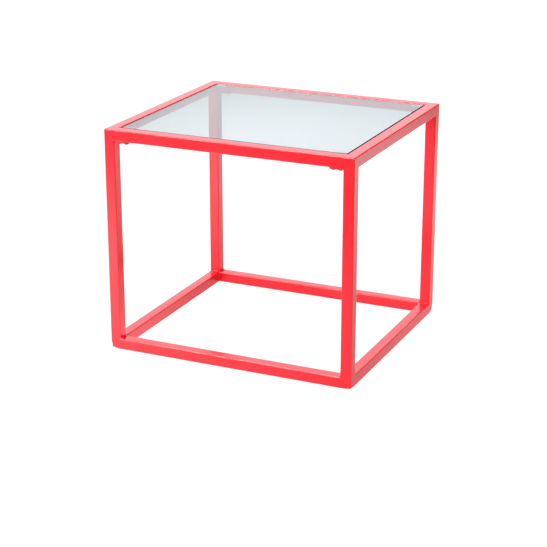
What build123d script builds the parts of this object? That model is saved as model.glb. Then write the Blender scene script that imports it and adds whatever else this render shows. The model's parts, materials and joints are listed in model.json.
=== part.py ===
from build123d import *
import os

# Side table: a welded cube frame of square steel tube with a pane of glass let into its top.
# Millimetres. +Z is up, the front is at -Y, and the origin is on the floor under the middle.

# Overall sizes
table_width = 510.0             # left to right, over the tubes
table_depth = 460.0             # front to back, over the tubes
frame_height = 445.0            # over the tubes, without the glides

# Square tube
tube_size = 22.0                # 7/8 inch tube, as furniture makers sell it
tube_wall = 1.5
tube_corner_radius = 2.0        # outside radius of the tube's long edges

# Pane
glass_thickness = 5.0
glass_gap = 3.0                 # all round, between the pane's edge and the rails
glass_set_down = 0.5            # the pane's top below the top of the rails
glass_corner_radius = 3.0
glass_arris = 0.5               # ground bevel on both rims of the pane
glass_lift = 60.0               # how far up the pane is drawn when it is taken out

# Pads between the brackets and the pane
pad_thickness = 1.5
pad_length = 22.0
pad_width = 8.5
pad_corner_radius = 2.0

# Brackets: bent strip, one below each top corner, screwed up into the front or back rail
bracket_thickness = 3.0
bracket_length = 28.0
bracket_leg_gap = 1.0           # from the leg, and from the side rail above it
bracket_set_back = 1.0          # lower flange behind the rail's outside face
bracket_shelf_depth = 13.0      # upper flange, measured from the rail's inside face
bracket_bend_radius = 1.0       # inside of each bend
bracket_flange_corner = 6.0     # free corner of the lower flange
bracket_shelf_corner = 4.0      # free corners of the upper flange

# Pan-head screws, two to a bracket
screw_shank_radius = 2.0
screw_length = 9.0              # under the head
screw_head_radius = 3.8
screw_head_height = 2.6
screw_head_rounding = 1.6
screw_recess_width = 0.9        # one arm of the cross recess
screw_recess_span = 4.2
screw_recess_depth = 1.2
screw_end_distance = 6.5        # from the bracket's leg end to the first screw
screw_spacing = 14.5
screw_from_flange_edge = 7.0    # from the lower flange's outer edge to the screw line
screw_hole_clearance = 0.3      # radial, in the bracket
screw_thread_clearance = 0.05   # radial, in the rail's wall

# Stick-on glides under the corners
glide_radius = 8.0
glide_thickness = 1.5
glide_rim_radius = 0.5

# What follows from those
low = Align.MIN
mid = Align.CENTER
table_height = frame_height + glide_thickness
bore_size = tube_size - 2 * tube_wall
bore_corner_radius = tube_corner_radius - tube_wall
inside_width = table_width - 2 * tube_size
inside_depth = table_depth - 2 * tube_size
leg_length = frame_height - 2 * tube_size
leg_foot = glide_thickness + tube_size          # top of the bottom frame
top_rail_foot = table_height - tube_size        # underside of the top frame
glass_top_height = table_height - glass_set_down
glass_foot = glass_top_height - glass_thickness
shelf_rise = glass_foot - pad_thickness - top_rail_foot     # shelf's top over the rail's underside


def frame_envelope():
    """The outside of the whole frame: a block with all its edges rounded as the tube's are."""
    block = Box(table_width, table_depth, frame_height, align=(mid, mid, low))
    return Pos(0, 0, glide_thickness) * fillet(block.edges(), tube_corner_radius)


def rail_waste(length, legs_below):
    """What is taken out of a bar along X that has its outside face at y = 0 and its underside at z = 0.

    The bore, a 45 degree mitre at each end, and the rounding of the outside edge towards the
    legs. That edge is rounded between the legs only, so that the legs butt on a flat seat.
    """
    bore = Box(length, bore_size, bore_size)
    bore = fillet(bore.edges().filter_by(Axis.X), bore_corner_radius)
    waste = [Pos(0, tube_size / 2, tube_size / 2) * bore]

    seat_level = 0 if legs_below else tube_size
    inward = 1 if legs_below else -1
    span = length - 2 * tube_size
    edge_block = Pos(0, 0, seat_level) * Box(span, 2 * tube_corner_radius, 2 * tube_corner_radius)
    curve_axis = Pos(0, tube_corner_radius, seat_level + inward * tube_corner_radius)
    waste.append(edge_block - curve_axis * Rot(0, 90, 0) * Cylinder(tube_corner_radius, span))

    for end in (-1, 1):
        tip = end * length / 2
        beyond = tip + end * tube_size
        inner_end = tip - 2 * end * tube_size
        mitre = Polyline(
            (beyond, -tube_size), (beyond, 2 * tube_size), (inner_end, 2 * tube_size), close=True)
        prism = extrude(make_face(mitre), amount=3 * tube_size, dir=(0, 0, 1))
        waste.append(Pos(0, 0, -tube_size) * prism)
    return waste


def screw_places():
    """Distances of a bracket's two screws from the leg, along the rail."""
    first = bracket_leg_gap + screw_end_distance
    return [first, first + screw_spacing]


def rail_drills():
    """Screw holes through the underside of the front or back top rail, at both of its ends."""
    drill = Cylinder(screw_shank_radius + screw_thread_clearance, 2 * tube_wall)
    across = bracket_set_back + screw_from_flange_edge
    return [Pos(end * (inside_width / 2 - distance), across, 0) * drill
            for end in (-1, 1) for distance in screw_places()]


def rail(side, underside, legs_below):
    """side is front, back, left or right; underside is its height over the floor."""
    crosswise = side in ("front", "back")
    length, half = (table_width, table_depth / 2) if crosswise else (table_depth, table_width / 2)
    turn = {"front": 0, "right": 90, "back": 180, "left": 270}[side]
    place = Pos(0, 0, underside) * Rot(0, 0, turn) * Pos(0, -half, 0)

    bar = Box(length, tube_size, tube_size, align=(mid, low, low))
    inside_edges = bar.edges().filter_by(Axis.X).sort_by(Axis.Y)[-2:]
    bar = place * fillet(inside_edges, tube_corner_radius) & envelope
    waste = rail_waste(length, legs_below)
    if crosswise and legs_below:
        waste += rail_drills()
    for cut in waste:
        bar -= place * cut
    return bar


def leg(x_side, y_side):
    outside = RectangleRounded(tube_size, tube_size, tube_corner_radius)
    bore = RectangleRounded(bore_size, bore_size, bore_corner_radius)
    x = x_side * (table_width - tube_size) / 2
    y = y_side * (table_depth - tube_size) / 2
    return Pos(x, y, leg_foot) * extrude(outside - bore, amount=leg_length)


def corner_copy(shape, x_side, y_side):
    """Takes a piece made for the front left corner to another one."""
    if x_side != y_side:
        shape = mirror(shape, about=Plane.YZ)
    return Rot(0, 0, 180) * shape if y_side > 0 else shape


def front_left_bracket():
    """A Z of bent strip: a flange under the rail, a web up its inside face, a shelf under the pane."""
    inner = tube_size + bracket_thickness
    shelf_edge = tube_size + bracket_shelf_depth
    shelf_under = shelf_rise - bracket_thickness
    outline = Polyline(
        (bracket_set_back, 0), (tube_size, 0), (tube_size, shelf_rise), (shelf_edge, shelf_rise),
        (shelf_edge, shelf_under), (inner, shelf_under), (inner, -bracket_thickness),
        (bracket_set_back, -bracket_thickness), close=True)
    profile = make_face(outline)
    outer_bend = bracket_bend_radius + bracket_thickness
    bends = (
        (tube_size, 0, bracket_bend_radius), (tube_size, shelf_rise, outer_bend),
        (inner, shelf_under, bracket_bend_radius), (inner, -bracket_thickness, outer_bend))
    for across, up, radius in bends:
        corner = profile.vertices().sort_by_distance((across, up, 0))[0]
        profile = fillet(corner, radius)
    section = Plane(origin=(0, 0, 0), x_dir=(0, 1, 0), z_dir=(1, 0, 0))
    strip = section * extrude(profile, amount=bracket_length)

    upright = strip.edges().filter_by(Axis.Z)
    flange_corner = upright.sort_by_distance((bracket_length, bracket_set_back, 0))[0]
    strip = fillet(flange_corner, bracket_flange_corner)
    for x in (0, bracket_length):
        tip = (x, shelf_edge, shelf_rise)
        strip = fillet(strip.edges().filter_by(Axis.Z).sort_by_distance(tip)[0], bracket_shelf_corner)

    hole = Cylinder(screw_shank_radius + screw_hole_clearance, 3 * bracket_thickness)
    for distance in screw_places():
        strip -= Pos(distance - bracket_leg_gap, bracket_set_back + screw_from_flange_edge, 0) * hole
    return Pos(bracket_leg_gap - inside_width / 2, -table_depth / 2, top_rail_foot) * strip


def screw():
    """Points up, with the seat of its head at z = 0."""
    head = Cylinder(screw_head_radius, screw_head_height, align=(mid, mid, Align.MAX))
    head = fillet(head.edges().sort_by(Axis.Z)[0], screw_head_rounding)
    for turn in (0, 90):
        arm = Box(screw_recess_span, screw_recess_width, screw_recess_depth, align=(mid, mid, low))
        head -= Pos(0, 0, -screw_head_height) * Rot(0, 0, turn) * arm
    return head + Cylinder(screw_shank_radius, screw_length, align=(mid, mid, low))


def bracket_screws():
    seat = top_rail_foot - bracket_thickness
    y = bracket_set_back + screw_from_flange_edge - table_depth / 2
    screws = []
    for x_side in (-1, 1):
        for y_side in (-1, 1):
            for distance in screw_places():
                one = Pos(distance - inside_width / 2, y, seat) * screw()
                screws.append(corner_copy(one, x_side, y_side))
    return Compound(screws)


def front_left_pad():
    """Silicone strip in the middle of the shelf's flat, clear of the bend."""
    shelf_flat = tube_size + bracket_thickness + bracket_bend_radius
    shelf_edge = tube_size + bracket_shelf_depth
    x = bracket_leg_gap + bracket_length / 2 - inside_width / 2
    y = (shelf_flat + shelf_edge) / 2 - table_depth / 2
    outline = RectangleRounded(pad_length, pad_width, pad_corner_radius)
    return Pos(x, y, glass_foot - pad_thickness) * extrude(outline, amount=pad_thickness)


def glass_top():
    width = inside_width - 2 * glass_gap
    depth = inside_depth - 2 * glass_gap
    pane = extrude(RectangleRounded(width, depth, glass_corner_radius), amount=glass_thickness)
    rims = pane.faces().sort_by(Axis.Z)[0].edges() + pane.faces().sort_by(Axis.Z)[-1].edges()
    return Pos(0, 0, glass_foot) * chamfer(rims, glass_arris)


def glide(x_side, y_side):
    disc = Cylinder(glide_radius, glide_thickness, align=(mid, mid, low))
    disc = fillet(disc.edges().sort_by(Axis.Z)[0], glide_rim_radius)
    x = x_side * (table_width - tube_size) / 2
    y = y_side * (table_depth - tube_size) / 2
    return Pos(x, y, 0) * disc


corners = {"front_left": (-1, -1), "front_right": (1, -1), "back_left": (-1, 1), "back_right": (1, 1)}
envelope = frame_envelope()

pieces = {}
for side in ("front", "back", "left", "right"):
    pieces["top_rail_" + side] = rail(side, top_rail_foot, legs_below=True)
    pieces["bottom_rail_" + side] = rail(side, glide_thickness, legs_below=False)
bracket = front_left_bracket()
pad = front_left_pad()
for corner, sides in corners.items():
    pieces["leg_" + corner] = leg(*sides)
    pieces["glass_bracket_" + corner] = corner_copy(bracket, *sides)
    pieces["glass_pad_" + corner] = corner_copy(pad, *sides)
    pieces["glide_" + corner] = glide(*sides)
pieces["bracket_screws"] = bracket_screws()
pieces["glass_top"] = glass_top()

os.makedirs("parts", exist_ok=True)
for node, shape in pieces.items():
    export_step(shape, "parts/" + node + ".step")
print(len(pieces), "nodes; the pane lifts", glass_lift, "mm out of the frame")
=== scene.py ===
import json
import math

import bmesh
import bpy
from mathutils import Matrix, Vector


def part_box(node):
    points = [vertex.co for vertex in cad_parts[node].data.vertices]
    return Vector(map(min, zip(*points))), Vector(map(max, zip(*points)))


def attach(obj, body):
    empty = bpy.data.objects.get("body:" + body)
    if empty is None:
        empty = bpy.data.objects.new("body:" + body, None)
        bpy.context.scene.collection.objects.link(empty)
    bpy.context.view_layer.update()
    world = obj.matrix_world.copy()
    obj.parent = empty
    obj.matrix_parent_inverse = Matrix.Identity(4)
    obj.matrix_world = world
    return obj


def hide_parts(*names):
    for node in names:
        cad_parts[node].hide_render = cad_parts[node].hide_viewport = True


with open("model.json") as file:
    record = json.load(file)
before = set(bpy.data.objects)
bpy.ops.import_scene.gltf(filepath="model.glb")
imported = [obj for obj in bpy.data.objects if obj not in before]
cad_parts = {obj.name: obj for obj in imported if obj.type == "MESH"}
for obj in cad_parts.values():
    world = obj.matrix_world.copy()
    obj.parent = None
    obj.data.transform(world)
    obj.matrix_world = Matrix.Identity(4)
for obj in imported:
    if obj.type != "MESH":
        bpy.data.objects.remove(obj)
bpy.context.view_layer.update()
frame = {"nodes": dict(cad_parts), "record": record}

scene = bpy.context.scene
scene.view_settings.view_transform = "Standard"
scene.view_settings.look = "None"

corners = {"front_left": (-1, -1), "front_right": (1, -1), "back_left": (-1, 1), "back_right": (1, 1)}
sides = ("front", "back", "left", "right")
mm = 0.001


class Signal:
    # an output socket that can be used in sums, so that 1 - mask adds its Math node
    def __init__(self, wiring, socket):
        self.wiring = wiring
        self.socket = socket

    def maths(self, operation, *values):
        return self.wiring.node("ShaderNodeMath", {"operation": operation}, dict(enumerate(values)))

    def __add__(self, other):
        return self.maths("ADD", self, other)

    def __sub__(self, other):
        return self.maths("SUBTRACT", self, other)

    def __rsub__(self, other):
        return self.maths("SUBTRACT", other, self)

    def __mul__(self, other):
        return self.maths("MULTIPLY", self, other)

    __radd__ = __add__
    __rmul__ = __mul__

    def step(self, start, end):     # 0 at start and 1 at end, smooth between
        inputs = {"Value": self, "From Min": start, "From Max": end}
        return self.wiring.node("ShaderNodeMapRange", {"interpolation_type": "SMOOTHSTEP"}, inputs)


class Wiring:
    # one node tree; every node in it comes from node(), which hands back one of its outputs
    def __init__(self, tree, coordinates="Object"):
        self.tree = tree
        self.tree.nodes.clear()
        self.place = self.node("ShaderNodeTexCoord", output=coordinates)

    def node(self, kind, settings=None, inputs=None, output=0):
        made = self.tree.nodes.new(kind)
        for name, value in (settings or {}).items():
            setattr(made, name, value)
        for name, value in (inputs or {}).items():
            if isinstance(value, Signal):
                self.tree.links.new(value.socket, made.inputs[name])
            else:
                made.inputs[name].default_value = value
        if output is not None:
            return Signal(self, made.outputs[output])

    def noise(self, scale, detail=2.0, roughness=0.5, stretch=None, distortion=0.0):
        where = self.place
        if stretch:
            where = self.node("ShaderNodeMapping", None, {"Vector": where, "Scale": stretch})
        return self.node("ShaderNodeTexNoise", None, {
            "Vector": where, "Scale": scale, "Detail": detail, "Roughness": roughness,
            "Distortion": distortion})

    def blend(self, factor, first, second, mode="MIX"):
        # inputs 6 and 7 and output 2 are the Mix node's colour sockets
        settings = {"data_type": "RGBA", "blend_type": mode, "clamp_factor": True}
        return self.node("ShaderNodeMix", settings, {0: factor, 6: first, 7: second}, output=2)

    def bump(self, height, distance, under=None):
        inputs = {"Height": height, "Distance": distance}
        if under:
            inputs["Normal"] = under
        return self.node("ShaderNodeBump", None, inputs)

    def surface(self, shader, output="ShaderNodeOutputMaterial"):
        self.node(output, None, {"Surface": shader}, output=None)


class Finish(Wiring):
    # a new material and its wiring
    def __init__(self, name):
        self.material = bpy.data.materials.new(name)
        self.material.use_nodes = True
        super().__init__(self.material.node_tree)

    def surface(self, shader):
        super().surface(shader)
        return self.material


# In the finishes, a scale is a noise's, about its lumps to the metre. A range is where in that
# noise a colour comes in, and a share is how much of it there is at most. Heights are in metres.
redPaint = {
    "colour": (0.80, 0.0070, 0.016, 1),
    "deepColour": (0.70, 0.003, 0.009, 1),      # where the coat lies thicker
    "deepScale": 14,
    "deepRange": (0.35, 0.7),
    "deepShare": 0.5,
    "dustColour": (0.88, 0.22, 0.22, 1),
    "dustScale": 900,
    "dustRange": (0.72, 0.82),
    "dustShare": 0.04,
    "roughness": 0.22,
    "waveRoughness": 0.08,      # how much the roughness changes with the slow waves
    "streakRoughness": 0.128,   # and with the streaks
    "peelScale": 620,
    "peelHeight": 0.000012,     # the ripple in the sprayed coat
    "waveScale": 38,
    "waveHeight": 0.00005,      # slow dips left by grinding
    "streakScale": 240,
    "lineScale": 1500,
    "lineHeight": 0.000008,     # streaks and lines in the steel that show through the coat
    "lineStretch": 0.06,        # their scale along the tube, as a share of that across it
    "ior": 1.5,
}


def makeRedPaint(name, along, settings):
    # along is 0, 1 or 2, the axis that the tube and its brush lines run on
    paint = Finish(name)
    stretch = [1.0, 1.0, 1.0]
    stretch[along] = settings["lineStretch"]
    cloud = paint.noise(settings["deepScale"], detail=3)
    dust = paint.noise(settings["dustScale"], detail=2, roughness=0.6)
    peel = paint.noise(settings["peelScale"], detail=1.5, roughness=0.45)
    wave = paint.noise(settings["waveScale"], detail=2)
    streaks = paint.noise(settings["streakScale"], detail=3, roughness=0.6, stretch=stretch)
    lines = paint.noise(settings["lineScale"], detail=2, roughness=0.5, stretch=stretch)

    deep = cloud.step(*settings["deepRange"]) * settings["deepShare"]
    dusty = dust.step(*settings["dustRange"]) * settings["dustShare"]
    colour = paint.blend(deep, settings["colour"], settings["deepColour"])
    colour = paint.blend(dusty, colour, settings["dustColour"])
    roughness = settings["roughness"] + (streaks - 0.5) * settings["streakRoughness"]
    roughness += (wave - 0.5) * settings["waveRoughness"]

    normal = paint.bump(wave, settings["waveHeight"])
    normal = paint.bump(peel, settings["peelHeight"], under=normal)
    normal = paint.bump(streaks * 2 + lines, settings["lineHeight"], under=normal)
    return paint.surface(paint.node("ShaderNodeBsdfPrincipled", None, {
        "Base Color": colour, "Roughness": roughness, "Normal": normal, "IOR": settings["ior"]}))


shadedBracketPaint = {
    **redPaint,
    # darker than the tubes' red: painted shade for the bracket's place under the rails
    "colour": (0.62, 0.006, 0.014, 1),
    "deepColour": (0.42, 0.003, 0.008, 1),
    "roughness": 0.32,
}

beadPaint = {
    **redPaint,
    "roughness": 0.13,          # the coat runs thick and glossy over a weld
    "waveRoughness": 0.06,
    "streakRoughness": 0.096,
    "lineHeight": 0.0,
}

tintedGlass = {
    "tint": (0.27, 0.295, 0.30, 1),
    "shadowTint": (0.86, 0.90, 0.91, 1),    # what light passes on to the things below
    "smearScale": 14,
    "smearRange": (0.5, 0.75),
    "smearRoughness": 0.012,
    "ior": 1.5,
}


def makeGlass(name, settings):
    glass = Finish(name)
    smear = glass.noise(settings["smearScale"], detail=4, roughness=0.6, distortion=0.8)
    roughness = smear.step(*settings["smearRange"]) * settings["smearRoughness"]
    pane = glass.node("ShaderNodeBsdfPrincipled", None, {
        "Base Color": settings["tint"], "Roughness": roughness, "IOR": settings["ior"],
        "Transmission Weight": 1.0})
    clear = glass.node("ShaderNodeBsdfTransparent", None, {"Color": settings["shadowTint"]})
    shadowRay = glass.node("ShaderNodeLightPath", output="Is Shadow Ray")
    return glass.surface(glass.node("ShaderNodeMixShader", None, {0: shadowRay, 1: pane, 2: clear}))


shadedGlassEdge = {
    # near-black: painted shade for the dark look of the pane's edge and of the gap beside the rails
    "colour": (0.006, 0.009, 0.010, 1),
    "paleColour": (0.05, 0.07, 0.075, 1),
    "paleScale": 30,
    "paleRange": (0.45, 0.75),
    "paleShare": 0.35,
    "roughness": 0.35,
    "grindScale": 900,
    "grindStretch": (1, 1, 0.2),    # the wheel's marks run up and down the edge
    "grindRoughness": 0.2,
    "grindHeight": 0.00004,
    "ior": 1.5,
}


def makeShadedGlassEdge(name, settings):
    edge = Finish(name)
    grind = edge.noise(settings["grindScale"], detail=2, stretch=settings["grindStretch"])
    pale = edge.noise(settings["paleScale"], detail=2).step(*settings["paleRange"]) * settings["paleShare"]
    return edge.surface(edge.node("ShaderNodeBsdfPrincipled", None, {
        "Base Color": edge.blend(pale, settings["colour"], settings["paleColour"]),
        "Roughness": settings["roughness"] + grind * settings["grindRoughness"],
        "Normal": edge.bump(grind, settings["grindHeight"]), "IOR": settings["ior"]}))


silicone = {
    "colour": (0.60, 0.63, 0.64, 1),
    "dustColour": (0.42, 0.41, 0.40, 1),
    "dustScale": 260,
    "dustRange": (0.5, 0.8),
    "dustShare": 0.5,
    "dustRoughness": 0.25,
    "roughness": 0.38,
    "grainScale": 700,
    "grainHeight": 0.00005,
    "glowThrough": 0.3,             # how much of its light comes from under the skin
    "glowRadius": (0.002, 0.002, 0.002),
    "ior": 1.41,
}


def makeSilicone(name, settings):
    rubber = Finish(name)
    dust = rubber.noise(settings["dustScale"], detail=3, roughness=0.6)
    dusty = dust.step(*settings["dustRange"]) * settings["dustShare"]
    grain = rubber.noise(settings["grainScale"], detail=1)
    return rubber.surface(rubber.node("ShaderNodeBsdfPrincipled", None, {
        "Base Color": rubber.blend(dusty, settings["colour"], settings["dustColour"]),
        "Roughness": settings["roughness"] + dust * settings["dustRoughness"],
        "Normal": rubber.bump(grain, settings["grainHeight"]), "IOR": settings["ior"],
        "Subsurface Weight": settings["glowThrough"], "Subsurface Radius": settings["glowRadius"]}))


screwSteel = {
    "colour": (0.24, 0.012, 0.020, 1),
    "wornColour": (0.40, 0.06, 0.07, 1),
    "wornScale": 330,
    "wornRange": (0.52, 0.70),
    "wornShare": 0.6,
    "metallic": 0.25,               # the paint over the steel is thin
    "roughness": 0.36,
    "grainScale": 900,
    "grainRoughness": 0.2,
    "grainHeight": 0.00003,
}


def makeScrewSteel(name, settings):
    steel = Finish(name)
    grain = steel.noise(settings["grainScale"], detail=3, roughness=0.7)
    worn = steel.noise(settings["wornScale"], detail=2).step(*settings["wornRange"]) * settings["wornShare"]
    return steel.surface(steel.node("ShaderNodeBsdfPrincipled", None, {
        "Base Color": steel.blend(worn, settings["colour"], settings["wornColour"]),
        "Metallic": settings["metallic"],
        "Roughness": settings["roughness"] + grain * settings["grainRoughness"],
        "Normal": steel.bump(grain, settings["grainHeight"])}))


glidePlastic = {
    "colour": (0.74, 0.74, 0.72, 1),
    "scuffColour": (0.38, 0.36, 0.34, 1),
    "scuffScale": 380,
    "scuffRange": (0.35, 0.65),
    "scuffedUpTo": 1.2 * mm,        # above the floor
    "scuffRoughness": 0.3,
    "roughness": 0.5,
    "grainScale": 600,
    "grainHeight": 0.00006,
    "ior": 1.5,
}


def makeGlidePlastic(name, settings):
    plastic = Finish(name)
    height = plastic.node("ShaderNodeSeparateXYZ", None, {"Vector": plastic.place}, output="Z")
    scuff = plastic.noise(settings["scuffScale"], detail=4, roughness=0.7)
    scuff *= 1 - height.step(0, settings["scuffedUpTo"])
    grain = plastic.noise(settings["grainScale"], detail=2)
    scuffed = scuff.step(*settings["scuffRange"])
    return plastic.surface(plastic.node("ShaderNodeBsdfPrincipled", None, {
        "Base Color": plastic.blend(scuffed, settings["colour"], settings["scuffColour"]),
        "Roughness": settings["roughness"] + scuff * settings["scuffRoughness"],
        "Normal": plastic.bump(grain, settings["grainHeight"]), "IOR": settings["ior"]}))


tubePaint = [makeRedPaint("red_paint_" + name, axis, redPaint)
             for axis, name in enumerate(("crosswise", "lengthwise", "upright"))]
finishes = {
    "bracket_paint": makeRedPaint("bracket_paint", 0, shadedBracketPaint),
    "screws": makeScrewSteel("screw_steel", screwSteel),
    "pads": makeSilicone("clear_silicone", silicone),
    "glides": makeGlidePlastic("glide_plastic", glidePlastic),
    "glass": makeGlass("tinted_glass", tintedGlass),
}
shadedEdgeFinish = makeShadedGlassEdge("glass_edge_painted_shade", shadedGlassEdge)
print("finishes made:", ", ".join(sorted(finishes)))

slotOf = {entry["node"]: entry["material_slot"] for entry in frame["record"]["subparts"]}


def finishFor(name):
    if slotOf[name] != "frame_paint":
        return finishes[slotOf[name]]
    if name.startswith("leg"):
        return tubePaint[2]
    return tubePaint[0] if name.endswith(("front", "back")) else tubePaint[1]


for name, node in frame["nodes"].items():
    for materialSlot in node.material_slots:
        materialSlot.material = finishFor(name)
print("finishes given to", len(frame["nodes"]), "nodes")


def boxShape(low, high):
    shape = bmesh.new()
    bmesh.ops.create_cube(shape, size=1)
    bmesh.ops.scale(shape, vec=high - low, verts=shape.verts)
    bmesh.ops.translate(shape, vec=(low + high) / 2, verts=shape.verts)
    return shape


def bevelEdges(shape, edges, radius, segments):
    bmesh.ops.bevel(shape, geom=edges, offset=radius, offset_type="OFFSET", affect="EDGES",
                    segments=segments, profile=0.5, material=-1, clamp_overlap=True)


def cutThrough(shape, place, normal):
    everything = shape.verts[:] + shape.edges[:] + shape.faces[:]
    bmesh.ops.bisect_plane(shape, geom=everything, dist=1e-7, plane_co=place, plane_no=normal)


def cutAcross(shape, axis, value):
    place, normal = Vector((0, 0, 0)), Vector((0, 0, 0))
    place[axis] = value
    normal[axis] = 1
    cutThrough(shape, place, normal)


def isUpright(edge):
    return abs(edge.verts[0].co.z - edge.verts[1].co.z) > mm


def isAt(edge, axis, value):
    return all(abs(vert.co[axis] - value) < 1e-6 for vert in edge.verts)


def finishMesh(shape, name, materials, body, smoothAngle):
    mesh = bpy.data.meshes.new(name)
    bmesh.ops.recalc_face_normals(shape, faces=shape.faces)
    shape.to_mesh(mesh)
    shape.free()
    for material in materials:
        mesh.materials.append(material)
    mesh.shade_smooth()
    mesh.set_sharp_from_angle(angle=math.radians(smoothAngle))
    piece = bpy.data.objects.new(name, mesh)
    scene.collection.objects.link(piece)
    flats = piece.modifiers.new("flat_faces", "WEIGHTED_NORMAL")     # only the rounded edges shade round
    flats.keep_sharp = True
    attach(piece, body)
    return piece


glassPane = {
    "cornerRadius": 3 * mm,
    "cornerSegments": 8,
    "arris": 0.3 * mm,
    "smoothAngle": 30,
}


def makePane(settings):
    shape = boxShape(*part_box("glass_top"))
    upright = [edge for edge in shape.edges if isUpright(edge)]
    bevelEdges(shape, upright, settings["cornerRadius"], settings["cornerSegments"])
    rims = [edge for edge in shape.edges if not isUpright(edge)]
    bevelEdges(shape, rims, settings["arris"], 1)
    for face in shape.faces:
        face.normal_update()
        face.material_index = 0 if abs(face.normal.z) > 0.9 else 1
    materials = [finishes["glass"], shadedEdgeFinish]
    piece = finishMesh(shape, "glass_pane", materials, "glass", settings["smoothAngle"])
    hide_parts("glass_top")


makePane(glassPane)
print("pane made")


bottomFrame = {
    "edgeRadius": 2 * mm,
    "edgeSegments": 4,
    "grindReach": 15 * mm,      # how far from an outer lower corner the grinder has been
    "grindCuts": [cut * mm for cut in (1.5, 3.0, 4.6, 6.4, 8.6, 11.4, 15)],     # mesh lines for it
    "grindPasses": 60,
    "grindPull": 0.5,           # how far each pass draws a point towards its neighbours' middle
    "smoothAngle": 40,
}


def edgesToRound(shape, outer, inner, floor):
    # the window's edges, the outer ones but for the seats under the legs, and the four upright
    # corners; outer and inner are the two sides of the frame and of its window, in x and in y
    rounded = []
    for edge in shape.edges:
        middle = (edge.verts[0].co + edge.verts[1].co) / 2
        onOuter = sum(isAt(edge, axis, value) for axis in (0, 1) for value in outer[axis])
        onInner = any(isAt(edge, axis, value) for axis in (0, 1) for value in inner[axis])
        inWindow = all(inner[axis][0] - mm < middle[axis] < inner[axis][1] + mm for axis in (0, 1))
        underLeg = not any(inner[axis][0] <= middle[axis] <= inner[axis][1] for axis in (0, 1))
        if isUpright(edge):
            wanted = onOuter == 2
        else:
            wanted = (onInner and inWindow) or (onOuter and (isAt(edge, 2, floor) or not underLeg))
        if wanted and edge.calc_face_angle(0) > 1:
            rounded.append(edge)
    return rounded


def makeBottomFrame(settings):
    # the four bottom rails, welded into one and ground at the corners
    nodes = ["bottom_rail_" + side for side in sides]
    boxes = [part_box(node) for node in nodes]
    low = Vector([min(box[0][axis] for box in boxes) for axis in range(3)])
    high = Vector([max(box[1][axis] for box in boxes) for axis in range(3)])
    tube = high.z - low.z
    outer = [(low[axis], high[axis]) for axis in (0, 1)]
    inner = [(low[axis] + tube, high[axis] - tube) for axis in (0, 1)]
    outerCorners = [(x, y) for x in outer[0] for y in outer[1]]
    shape = boxShape(low, high)

    # the window through the middle
    flats = [face for face in shape.faces if abs(face.normal.z) > 0.9]
    bmesh.ops.inset_individual(shape, faces=flats, thickness=tube, use_even_offset=True)
    windowEdges = [edge for face in flats for edge in face.edges]
    bmesh.ops.delete(shape, geom=flats, context="FACES_ONLY")
    bmesh.ops.bridge_loops(shape, edges=windowEdges)

    # cut beside each leg, because the outer top edge is rounded between the legs only
    for axis in (0, 1):
        for value in inner[axis]:
            cutAcross(shape, axis, value)
    rounded = edgesToRound(shape, outer, inner, low.z)
    bevelEdges(shape, rounded, settings["edgeRadius"], settings["edgeSegments"])

    # the four outer lower corners, ground rounder than the tube's own edges
    for cut in settings["grindCuts"]:
        for axis in (0, 1):
            cutAcross(shape, axis, low[axis] + cut)
            cutAcross(shape, axis, high[axis] - cut)
        cutAcross(shape, 2, low.z + cut)
    ground = []
    for x, y in outerCorners:
        tip = Vector((x, y, low.z))
        ground += [vert for vert in shape.verts if (vert.co - tip).length < settings["grindReach"]]
    for turn in range(settings["grindPasses"]):
        bmesh.ops.smooth_vert(shape, verts=ground, factor=settings["grindPull"],
                              use_axis_x=True, use_axis_y=True, use_axis_z=True)

    # mitres, so that the brush lines turn the corner with the tubes
    for x, y in outerCorners:
        cutThrough(shape, Vector((x, y, 0)), Vector((1 if x * y > 0 else -1, -1, 0)).normalized())
    for face in shape.faces:
        middle = face.calc_center_median()
        crosswise = high.y - abs(middle.y) < high.x - abs(middle.x)
        face.material_index = 0 if crosswise else 1
    materials = tubePaint[:2]
    piece = finishMesh(shape, "bottom_frame", materials, "frame", settings["smoothAngle"])
    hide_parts(*nodes)


makeBottomFrame(bottomFrame)
print("bottom frame made")


beads = {
    "radius": 2.6 * mm,
    "underBracketRadius": 0.8 * mm,     # where a bracket leaves little room beside the leg
    "shortOfFace": 2.4 * mm,            # each bead ends this far inside the tube's ground outer face
    "pitch": 2.6 * mm,                  # of the ripples
    "ripple": 0.06,                     # of the radius
    "swell": 0.03,                      # the slower change of thickness, of the radius
    "swellTurn": 5.1,                   # radians of it from end to end
    "phaseStep": 1.3,                   # radians from a bead to the next, so that no two are alike
    "swellPhase": 1.7,                  # times the ripple's phase
    "endShare": 0.15,                   # of the radius, left at the very ends
    "endSteepness": 3.2,                # how soon it is full
    "ringsPerRipple": 4,
    "fewestRings": 6,
    "ringSides": 12,
    "smoothAngle": 60,
}


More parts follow.
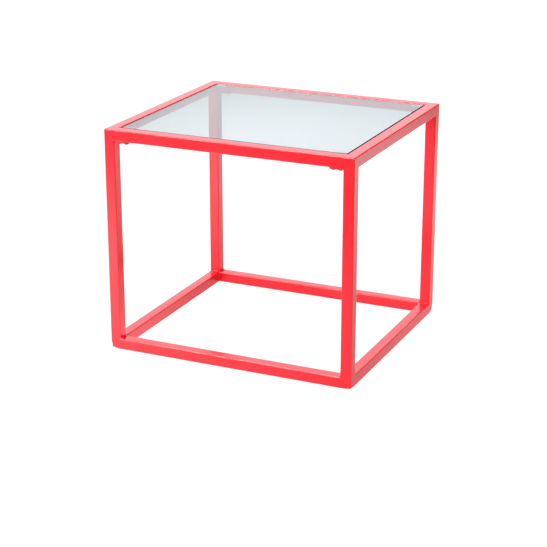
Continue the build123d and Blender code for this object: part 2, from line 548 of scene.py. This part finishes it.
def addBead(shape, start, end, radius, phase, settings):
    along = end - start
    length = along.length
    pitch = settings["pitch"]
    rings = max(settings["fewestRings"], round(length / pitch * settings["ringsPerRipple"]))
    made = bmesh.ops.create_circle(shape, cap_ends=True, segments=settings["ringSides"], radius=radius)
    beadVerts = list(made["verts"])
    face = beadVerts[0].link_faces[0]
    for step in range(rings):
        extruded = bmesh.ops.extrude_face_region(shape, geom=[face])["geom"]
        newVerts = [item for item in extruded if isinstance(item, bmesh.types.BMVert)]
        newFaces = [item for item in extruded if isinstance(item, bmesh.types.BMFace)]
        if step:        # the first face stays as the bead's end, and the others would be inside it
            bmesh.ops.delete(shape, geom=[face], context="FACES_ONLY")
        face = newFaces[0]
        bmesh.ops.translate(shape, vec=(0, 0, length / rings), verts=newVerts)
        beadVerts += newVerts
    for vert in beadVerts:
        share = vert.co.z / length
        girth = 1 + settings["ripple"] * math.sin(2 * math.pi * vert.co.z / pitch + phase)
        slow = settings["swellTurn"] * share + settings["swellPhase"] * phase
        girth += settings["swell"] * math.sin(slow)
        bulge = settings["endSteepness"] * math.sqrt(max(0.0, share * (1 - share)))
        girth *= min(1.0, bulge + settings["endShare"])
        vert.co.x *= girth
        vert.co.y *= girth
    turn = along.to_track_quat("Z", "Y").to_matrix().to_4x4()
    bmesh.ops.transform(shape, matrix=Matrix.Translation(start) @ turn, verts=beadVerts)


def beadLines(name, settings):
    # where each bead at this leg starts and ends, and its radius
    xSide, ySide = corners[name]
    low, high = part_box("leg_" + name)
    innerX, outerX = (low.x, high.x) if xSide > 0 else (high.x, low.x)
    innerY, outerY = (low.y, high.y) if ySide > 0 else (high.y, low.y)
    radius, short = settings["radius"], settings["shortOfFace"]
    lines = []
    for z, sideRadius in ((low.z, radius), (high.z, settings["underBracketRadius"])):
        start = Vector((innerX, innerY + ySide * short, z))
        lines.append((start, Vector((innerX, outerY - ySide * short, z)), sideRadius))
    for z in (low.z, high.z):
        start = Vector((innerX + xSide * short, innerY, z))
        lines.append((start, Vector((outerX - xSide * short, innerY, z)), radius))
    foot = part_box("bottom_rail_front")[0].z + short     # the last bead is up the mitre's inside
    lines.append((Vector((innerX, innerY, foot)), Vector((innerX, innerY, low.z)), radius))
    return lines


def makeBeads(settings):
    shape = bmesh.new()
    phase = 0.0
    for name in corners:
        for start, end, radius in beadLines(name, settings):
            phase += settings["phaseStep"]
            addBead(shape, start, end, radius, phase, settings)
    materials = [makeRedPaint("red_paint_beads", 2, beadPaint)]
    finishMesh(shape, "weld_beads", materials, "frame", settings["smoothAngle"])


makeBeads(beads)
print("weld beads made")


# A sheet of pale paper lit through from below. The paint and the pane reflect its glow, which is
# brighter in some places than others, and the camera is exposed for plain white.
paperFloor = {
    "size": 12.0,
    "colour": (0.14, 0.14, 0.14, 1),
    "grainColour": (0.12, 0.12, 0.12, 1),
    "grainScale": 60,
    "glow": 0.12,
    "cameraGlow": 1.0,
    "pools": {
        "under_table": {"middle": (0.05, -0.10, 0), "reach": 1.1, "glow": 0.62},
        "front_left": {"middle": (-0.82, -0.66, 0), "reach": 1.15, "glow": 2.6},
        "front_shade": {"middle": (-0.10, -1.12, 0), "reach": 0.40, "glow": -0.48},
        "back_right": {"middle": (0.85, 1.05, 0), "reach": 1.35, "glow": 1.3},
        "back_left": {"middle": (-0.60, 1.30, 0), "reach": 1.3, "glow": 2.1},
    },
}


def makePaper(name, settings):
    paper = Finish(name)
    grain = paper.noise(settings["grainScale"], detail=3)
    glow = settings["glow"]
    for pool in settings["pools"].values():
        ends = {0: paper.place, 1: pool["middle"]}
        away = paper.node("ShaderNodeVectorMath", {"operation": "DISTANCE"}, ends, output=1)
        glow = away.step(pool["reach"], 0) * pool["glow"] + glow
    camera = paper.node("ShaderNodeLightPath", output="Is Camera Ray")
    above = paper.node("ShaderNodeBsdfPrincipled", None, {
        "Base Color": paper.blend(grain, settings["colour"], settings["grainColour"]),
        "Roughness": 1.0, "Specular IOR Level": 0.0, "Emission Color": (1, 1, 1, 1),
        "Emission Strength": camera * settings["cameraGlow"] + (1 - camera) * glow})
    below = paper.node("ShaderNodeBsdfTransparent")
    fromBelow = paper.node("ShaderNodeNewGeometry", output="Backfacing")     # seen through from there
    return paper.surface(paper.node("ShaderNodeMixShader", None, {0: fromBelow, 1: above, 2: below}))


def makeFloor(settings):
    shape = bmesh.new()
    bmesh.ops.create_grid(shape, x_segments=1, y_segments=1, size=settings["size"] / 2)
    mesh = bpy.data.meshes.new("floor")
    shape.to_mesh(mesh)
    shape.free()
    mesh.materials.append(makePaper("floor_paper", settings))
    piece = bpy.data.objects.new("floor", mesh)
    scene.collection.objects.link(piece)


# Soft panels stand round a dim room. Each has the azimuth and height that it shines from, the half
# angles at which it is full and at which it ends, all in degrees, and its brightness.
studio = {
    "ambient": (0.18, 0.18, 0.19, 1),
    "backdrop": (1.0, 1.0, 1.0, 1),     # what the camera sees past the floor
    "panels": {
        "back": {"azimuth": -48, "height": 18, "full": 30, "end": 54, "colour": (1.28, 1.37, 1.43, 1)},
        "overhead": {"azimuth": -130, "height": 60, "full": 7, "end": 14, "colour": (26.0, 26.0, 26.0, 1)},
        "lowFront": {"azimuth": -156.5, "height": 10, "full": 4, "end": 9, "colour": (22.0, 22.0, 22.0, 1)},
        "front": {"azimuth": 170, "height": 20, "full": 38, "end": 66, "colour": (1.02, 1.05, 1.07, 1)},
        "left": {"azimuth": -115, "height": 18, "full": 22, "end": 46, "colour": (0.95, 1.0, 1.03, 1)},
        "right": {"azimuth": 100, "height": 32, "full": 20, "end": 52, "colour": (0.70, 0.71, 0.72, 1)},
    },
}


def towards(azimuth, height):
    # both in degrees, azimuth from +Y round to +X
    azimuth, height = math.radians(azimuth), math.radians(height)
    level = math.cos(height)
    return Vector((math.sin(azimuth) * level, math.cos(azimuth) * level, math.sin(height)))


def makeStudio(settings):
    world = bpy.data.worlds.new("studio")
    world.use_nodes = True
    sky = Wiring(world.node_tree, coordinates="Generated")
    light = settings["ambient"]
    for panel in settings["panels"].values():
        directions = {0: sky.place, 1: towards(panel["azimuth"], panel["height"])}
        facing = sky.node("ShaderNodeVectorMath", {"operation": "DOT_PRODUCT"}, directions, output=1)
        share = facing.step(math.cos(math.radians(panel["end"])), math.cos(math.radians(panel["full"])))
        light = sky.blend(share, light, panel["colour"], mode="ADD")
    camera = sky.node("ShaderNodeLightPath", output="Is Camera Ray")
    light = sky.blend(camera, light, settings["backdrop"])
    sky.surface(sky.node("ShaderNodeBackground", None, {"Color": light}), output="ShaderNodeOutputWorld")
    scene.world = world


view = {
    "azimuth": 24.49,       # degrees from the front round to the right
    "elevation": 19.40,
    "distance": 3.246,
    "target": (-0.0073, 0.0, 0.1193),
    "lens": 105.85,
    "sensor": 36,
    "farEnd": 100,
}


def makeCamera(settings):
    back = towards(180 - settings["azimuth"], settings["elevation"])
    camera = bpy.data.objects.new("camera", bpy.data.cameras.new("camera"))
    camera.data.lens = settings["lens"]
    camera.data.sensor_width = settings["sensor"]
    camera.data.clip_end = settings["farEnd"]
    camera.location = Vector(settings["target"]) + back * settings["distance"]
    camera.rotation_euler = (-back).to_track_quat("-Z", "Y").to_euler()
    scene.collection.objects.link(camera)
    scene.camera = camera


makeFloor(paperFloor)
makeStudio(studio)
makeCamera(view)
print("studio made")
